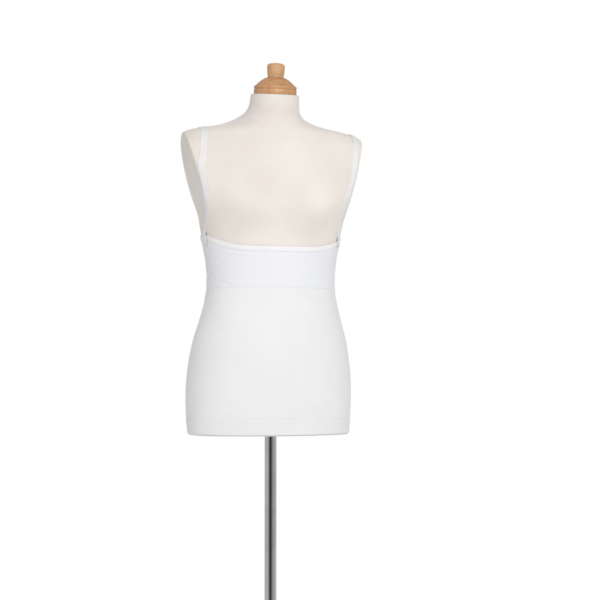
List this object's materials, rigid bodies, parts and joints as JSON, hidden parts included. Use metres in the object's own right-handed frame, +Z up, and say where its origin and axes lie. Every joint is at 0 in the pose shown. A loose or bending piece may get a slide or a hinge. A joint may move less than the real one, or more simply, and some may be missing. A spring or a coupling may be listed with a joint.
{
  "type": "dress form mannequin",
  "caption": "Jersey-covered torso form with a turned wooden neck cap, wearing a strappy underbust slip, on a height-adjustable pole stand with a round base.",
  "frame": {"origin": "on the floor, under the pole's axis, at the middle of the round base", "axes": "+Z up along the pole; -Y is the way the form faces; +X is the form's own left"},
  "size_m": [0.3814, 0.35, 1.574],
  "materials": {
    "plated_steel": "polished chrome plating",
    "foot_rubber": "matt moulded",
    "fixing_steel": "zinc plated",
    "bush_plastic": "natural nylon",
    "collar_aluminium": "satin turned",
    "knob_plastic": "fine moulded texture",
    "tip_brass": "turned",
    "board_wood": "sanded plywood",
    "shell_plastic": "moulded glass-reinforced shell",
    "dowel_wood": "bare beech",
    "jersey": "fine cream cotton jersey",
    "cap_wood": "clear lacquer",
    "slip_knit": "smooth stretch knit",
    "slip_band_knit": "double-layer stretch knit",
    "slip_elastic": "satin-faced elastic",
    "slider_plastic": "glossy"
  },
  "bodies": {
    "stand": {"base_plate": "plated_steel", "base_feet": "foot_rubber", "base_bolt": "fixing_steel", "base_washer": "fixing_steel", "base_cover": "plated_steel", "tube_plug": "fixing_steel", "lower_tube": "plated_steel", "guide_bush": "bush_plastic", "clamp_collar": "collar_aluminium"},
    "clamp_pad": {"clamp_tip": "bush_plastic"},
    "clamp_screw": {"clamp_stud": "fixing_steel", "clamp_knob": "knob_plastic"},
    "mast": {"mast_tube": "plated_steel", "mast_glide": "bush_plastic", "mast_top_plug": "bush_plastic"},
    "form": {"pole_socket": "collar_aluminium", "socket_screws": "fixing_steel", "bottom_board": "board_wood", "board_screws": "tip_brass", "torso_shell": "shell_plastic", "neck_block": "board_wood", "neck_block_pins": "dowel_wood", "torso_cover": "jersey", "slip_body": "slip_knit", "slip_band": "slip_band_knit", "slip_top_binding": "slip_elastic", "slip_hem": "slip_knit", "strap_left": "slip_elastic", "strap_right": "slip_elastic", "strap_sliders": "slider_plastic", "strap_rings": "slider_plastic"},
    "lock_pad": {"lock_tip": "tip_brass"},
    "lock_screw": {"lock_stud": "fixing_steel", "lock_knob": "plated_steel"},
    "dowel": {"cap_dowel": "dowel_wood"},
    "cap": {"neck_cap": "cap_wood", "finial_tenon": "dowel_wood", "finial_knob": "cap_wood"}
  },
  "joints": [
    {"name": "height_slide", "type": "slide", "parent": "stand", "child": "mast", "axis": [0, 0, 1], "range_m": [-0.11, 0.16]},
    {"name": "form_swivel", "type": "hinge", "parent": "mast", "child": "form", "pos_m": [0, 0, 0.8], "axis": [0, 0, 1], "continuous": true},
    {"name": "clamp_travel", "type": "slide", "parent": "stand", "child": "clamp_pad", "axis": [1, 0, 0], "range_m": [0, 0.0025]},
    {"name": "clamp_turn", "type": "hinge", "parent": "clamp_pad", "child": "clamp_screw", "pos_m": [0.026, 0, 0.402], "axis": [1, 0, 0], "range_deg": [0, 720]},
    {"name": "lock_travel", "type": "slide", "parent": "form", "child": "lock_pad", "axis": [0, 1, 0], "range_m": [0, 0.002]},
    {"name": "lock_turn", "type": "hinge", "parent": "lock_pad", "child": "lock_screw", "pos_m": [0, 0.024, 0.811], "axis": [0, 1, 0], "range_deg": [0, 720]},
    {"name": "cap_lift", "type": "slide", "parent": "form", "child": "dowel", "axis": [0, -0.1478, 0.989], "range_m": [0, 0.045]},
    {"name": "cap_turn", "type": "hinge", "parent": "dowel", "child": "cap", "pos_m": [0, -0.038, 1.508], "axis": [0, -0.1478, 0.989], "continuous": true}
  ],
  "couplings": [
    {"joint": "clamp_turn", "follows": "clamp_travel", "rad_per_m": 5026.5},
    {"joint": "lock_turn", "follows": "lock_travel", "rad_per_m": 6283.2}
  ]
}
